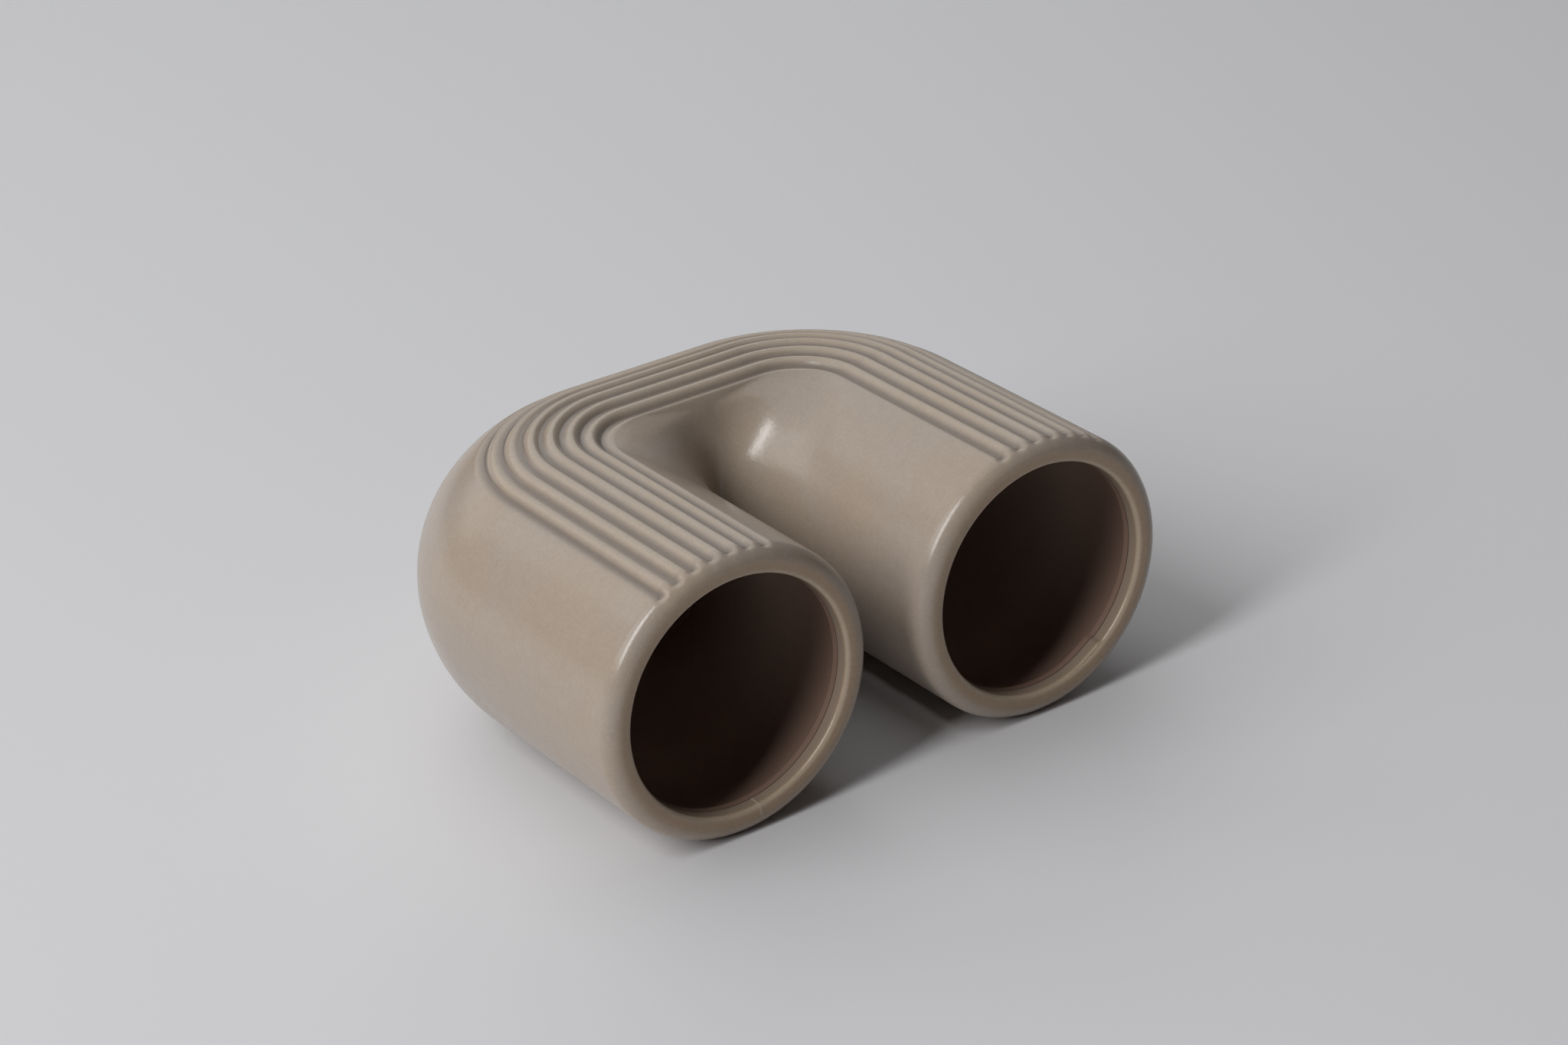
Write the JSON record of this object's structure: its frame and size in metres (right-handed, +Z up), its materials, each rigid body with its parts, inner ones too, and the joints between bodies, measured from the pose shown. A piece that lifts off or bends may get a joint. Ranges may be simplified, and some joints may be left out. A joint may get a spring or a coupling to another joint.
{
  "type": "double vase",
  "caption": "U-shaped ribbed stoneware tube vase with open round mouths on parallel legs, a hollow bridge and a flat standing foot, lying on its back.",
  "frame": {"origin": "on the table under the middle of the vase, which lies on its back as pictured", "axes": "+X along the bridge from the left leg to the right one, -Y out of both mouths, +Z up with the ribbed face on top; in use the vase stands on the flat foot that looks along +Y, mouths upward"},
  "size_m": [0.1986, 0.1518, 0.0899],
  "materials": {
    "body_glaze": "satin matt",
    "rim_glaze": "satin, worn thin on the shoulders"
  },
  "bodies": {
    "root": {"left_leg": "body_glaze", "right_leg": "body_glaze", "base_bridge": "body_glaze", "left_rim_ring": "rim_glaze", "right_rim_ring": "rim_glaze"}
  },
  "joints": []
}
